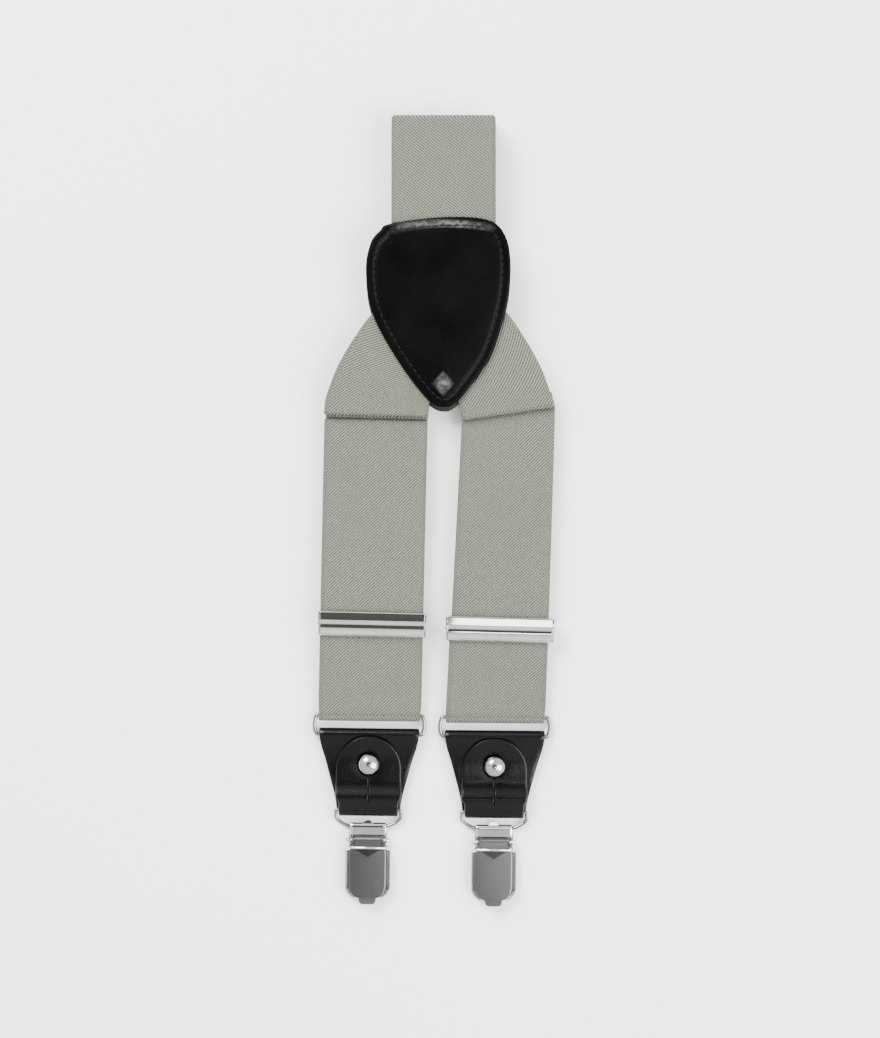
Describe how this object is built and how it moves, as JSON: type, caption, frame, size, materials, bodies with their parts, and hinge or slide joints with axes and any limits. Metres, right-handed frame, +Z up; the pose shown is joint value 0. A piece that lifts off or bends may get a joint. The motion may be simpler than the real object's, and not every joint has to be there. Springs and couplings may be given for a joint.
{
  "type": "suspenders",
  "caption": "Folded grey twill suspenders with a black leather shield patch, chrome adjusters, buttoned leather tabs and lever clips.",
  "frame": {"origin": "middle of the plan outline, on the flat rest face", "axes": "+X across the straps, +Y from the front clips to the top of the back strap, +Z up out of the rest face"},
  "size_m": [0.0887, 0.2877, 0.0157],
  "materials": {
    "webbing": "twill woven elastic",
    "patch_leather": "polished",
    "backing_leather": "matt",
    "tab_leather": "pebbled",
    "thread": "waxed",
    "wire_chrome": "polished",
    "plate_chrome": "polished",
    "stud_chrome": "polished",
    "pad_rubber": "ribbed"
  },
  "bodies": {
    "straps": {"patch_front": "patch_leather", "patch_backing": "backing_leather", "patch_stitching": "thread", "back_strap": "webbing", "left_shoulder_strap": "webbing", "right_shoulder_strap": "webbing", "left_strap_run": "webbing", "right_strap_run": "webbing"},
    "left_carriage": {"left_strap_bend": "webbing", "left_strap_return": "webbing"},
    "left_adjuster": {"left_adjuster_frame": "plate_chrome", "left_adjuster_pin": "plate_chrome"},
    "left_cover": {"left_adjuster_cover": "plate_chrome"},
    "right_carriage": {"right_strap_bend": "webbing", "right_strap_return": "webbing"},
    "right_adjuster": {"right_adjuster_frame": "plate_chrome", "right_adjuster_pin": "plate_chrome"},
    "right_cover": {"right_adjuster_cover": "plate_chrome"},
    "left_ring": {"left_strap_ring": "wire_chrome"},
    "left_tab": {"left_tab_leather": "tab_leather", "left_tab_bend": "tab_leather", "left_tab_stud": "stud_chrome"},
    "left_flap": {"left_tab_flap": "tab_leather"},
    "left_bail": {"left_clip_bail": "wire_chrome"},
    "left_clip": {"left_clip_back_plate": "plate_chrome", "left_clip_pin": "plate_chrome", "left_clip_back_pad": "pad_rubber"},
    "left_jaw": {"left_clip_front_jaw": "plate_chrome", "left_clip_front_pad": "pad_rubber"},
    "left_lever": {"left_clip_lever": "plate_chrome"},
    "right_ring": {"right_strap_ring": "wire_chrome"},
    "right_tab": {"right_tab_leather": "tab_leather", "right_tab_bend": "tab_leather", "right_tab_stud": "stud_chrome"},
    "right_flap": {"right_tab_flap": "tab_leather"},
    "right_bail": {"right_clip_bail": "wire_chrome"},
    "right_clip": {"right_clip_back_plate": "plate_chrome", "right_clip_pin": "plate_chrome", "right_clip_back_pad": "pad_rubber"},
    "right_jaw": {"right_clip_front_jaw": "plate_chrome", "right_clip_front_pad": "pad_rubber"},
    "right_lever": {"right_clip_lever": "plate_chrome"},
    "rear_ring": {"rear_strap_ring": "wire_chrome"},
    "rear_tab": {"rear_tab_leather": "tab_leather", "rear_tab_bend": "tab_leather", "rear_tab_stud": "stud_chrome"},
    "rear_flap": {"rear_tab_flap": "tab_leather"},
    "rear_bail": {"rear_clip_bail": "wire_chrome"},
    "rear_clip": {"rear_clip_back_plate": "plate_chrome", "rear_clip_pin": "plate_chrome", "rear_clip_back_pad": "pad_rubber"},
    "rear_jaw": {"rear_clip_front_jaw": "plate_chrome", "rear_clip_front_pad": "pad_rubber"},
    "rear_lever": {"rear_clip_lever": "plate_chrome"}
  },
  "joints": [
    {"name": "left_strap_slide", "type": "slide", "parent": "straps", "child": "left_carriage", "axis": [-0.0219, -0.9998, 0], "range_m": [-0.0015, 0.012], "deforming": ["left_strap_run"]},
    {"name": "left_adjuster_slide", "type": "slide", "parent": "left_carriage", "child": "left_adjuster", "axis": [-0.0219, -0.9972, -0.0715], "range_m": [-0.0015, 0.012], "deforming": ["left_strap_return"]},
    {"name": "left_cover_hinge", "type": "hinge", "parent": "left_adjuster", "child": "left_cover", "pos_m": [-0.02231, -0.03671, 0.00769], "axis": [-0.9997, 0.0227, 0], "range_deg": [0, 100]},
    {"name": "right_strap_slide", "type": "slide", "parent": "straps", "child": "right_carriage", "axis": [-0.0424, -0.9991, 0], "range_m": [-0.0015, 0.012], "deforming": ["right_strap_run"]},
    {"name": "right_adjuster_slide", "type": "slide", "parent": "right_carriage", "child": "right_adjuster", "axis": [-0.0423, -0.9965, -0.0715], "range_m": [-0.0015, 0.012], "deforming": ["right_strap_return"]},
    {"name": "right_cover_hinge", "type": "hinge", "parent": "right_adjuster", "child": "right_cover", "pos_m": [0.0241, -0.03861, 0.00763], "axis": [-0.9997, 0.0262, 0], "range_deg": [0, 100]},
    {"name": "left_ring_hinge", "type": "hinge", "parent": "left_carriage", "child": "left_ring", "pos_m": [-0.0236, -0.0738, 0.00235], "axis": [-0.9999, 0.0122, 0], "range_deg": [-80, 90]},
    {"name": "left_tab_hinge", "type": "hinge", "parent": "left_ring", "child": "left_tab", "pos_m": [-0.02369, -0.0808, 0.00235], "axis": [0.9999, -0.0122, 0], "range_deg": [-60, 60]},
    {"name": "left_flap_hinge", "type": "hinge", "parent": "left_tab", "child": "left_flap", "pos_m": [-0.02402, -0.10845, 0.00225], "axis": [-0.9999, 0.0122, 0], "range_deg": [-110, 0], "deforming": ["left_tab_bend"]},
    {"name": "left_bail_hinge", "type": "hinge", "parent": "left_tab", "child": "left_bail", "pos_m": [-0.02402, -0.10845, 0.00225], "axis": [-0.9999, 0.0122, 0], "range_deg": [-40, 40]},
    {"name": "left_clip_hinge", "type": "hinge", "parent": "left_bail", "child": "left_clip", "pos_m": [-0.0241, -0.1144, 0.0014], "axis": [0.9999, -0.0122, 0], "range_deg": [-40, 40]},
    {"name": "left_lever_hinge", "type": "hinge", "parent": "left_clip", "child": "left_lever", "pos_m": [-0.02416, -0.1194, 0.0027], "axis": [-0.9999, 0.0122, 0], "range_deg": [0, 100]},
    {"name": "left_jaw_hinge", "type": "hinge", "parent": "left_clip", "child": "left_jaw", "pos_m": [-0.02416, -0.1194, 0.0027], "axis": [-0.9999, 0.0122, 0], "range_deg": [0, 18]},
    {"name": "right_ring_hinge", "type": "hinge", "parent": "right_carriage", "child": "right_ring", "pos_m": [0.0223, -0.0746, 0.00235], "axis": [-1, 0.0087, 0], "range_deg": [-80, 90]},
    {"name": "right_tab_hinge", "type": "hinge", "parent": "right_ring", "child": "right_tab", "pos_m": [0.02224, -0.0816, 0.00235], "axis": [1, -0.0087, 0], "range_deg": [-60, 60]},
    {"name": "right_flap_hinge", "type": "hinge", "parent": "right_tab", "child": "right_flap", "pos_m": [0.022, -0.10925, 0.00225], "axis": [-1, 0.0087, 0], "range_deg": [-110, 0], "deforming": ["right_tab_bend"]},
    {"name": "right_bail_hinge", "type": "hinge", "parent": "right_tab", "child": "right_bail", "pos_m": [0.022, -0.10925, 0.00225], "axis": [-1, 0.0087, 0], "range_deg": [-40, 40]},
    {"name": "right_clip_hinge", "type": "hinge", "parent": "right_bail", "child": "right_clip", "pos_m": [0.02195, -0.1152, 0.0014], "axis": [1, -0.0087, 0], "range_deg": [-40, 40]},
    {"name": "right_lever_hinge", "type": "hinge", "parent": "right_clip", "child": "right_lever", "pos_m": [0.0219, -0.1202, 0.0027], "axis": [-1, 0.0087, 0], "range_deg": [0, 100]},
    {"name": "right_jaw_hinge", "type": "hinge", "parent": "right_clip", "child": "right_jaw", "pos_m": [0.0219, -0.1202, 0.0027], "axis": [-1, 0.0087, 0], "range_deg": [0, 18]},
    {"name": "rear_ring_hinge", "type": "hinge", "parent": "straps", "child": "rear_ring", "pos_m": [0.0035, 0.1028, 0.00595], "axis": [1, 0, 0], "range_deg": [0, 60]},
    {"name": "rear_tab_hinge", "type": "hinge", "parent": "rear_ring", "child": "rear_tab", "pos_m": [0.0035, 0.0958, 0.00595], "axis": [1, 0, 0], "range_deg": [0, 30]},
    {"name": "rear_flap_hinge", "type": "hinge", "parent": "rear_tab", "child": "rear_flap", "pos_m": [0.0035, 0.07315, 0.00605], "axis": [1, 0, 0], "range_deg": [-110, 0], "deforming": ["rear_tab_bend"]},
    {"name": "rear_bail_hinge", "type": "hinge", "parent": "rear_tab", "child": "rear_bail", "pos_m": [0.0035, 0.07315, 0.00605], "axis": [1, 0, 0], "range_deg": [0, 20]},
    {"name": "rear_clip_hinge", "type": "hinge", "parent": "rear_bail", "child": "rear_clip", "pos_m": [0.0035, 0.0672, 0.0049], "axis": [1, 0, 0], "range_deg": [0, 20]},
    {"name": "rear_lever_hinge", "type": "hinge", "parent": "rear_clip", "child": "rear_lever", "pos_m": [0.0035, 0.0622, 0.0036], "axis": [1, 0, 0], "range_deg": [0, 100]},
    {"name": "rear_jaw_hinge", "type": "hinge", "parent": "rear_clip", "child": "rear_jaw", "pos_m": [0.0035, 0.0622, 0.0036], "axis": [1, 0, 0], "range_deg": [0, 18]}
  ],
  "couplings": [
    {"joint": "left_adjuster_slide", "follows": "left_strap_slide", "ratio": 1},
    {"joint": "right_adjuster_slide", "follows": "right_strap_slide", "ratio": 1},
    {"joint": "left_jaw_hinge", "follows": "left_lever_hinge", "ratio": 0.18},
    {"joint": "right_jaw_hinge", "follows": "right_lever_hinge", "ratio": 0.18},
    {"joint": "rear_jaw_hinge", "follows": "rear_lever_hinge", "ratio": 0.18}
  ]
}
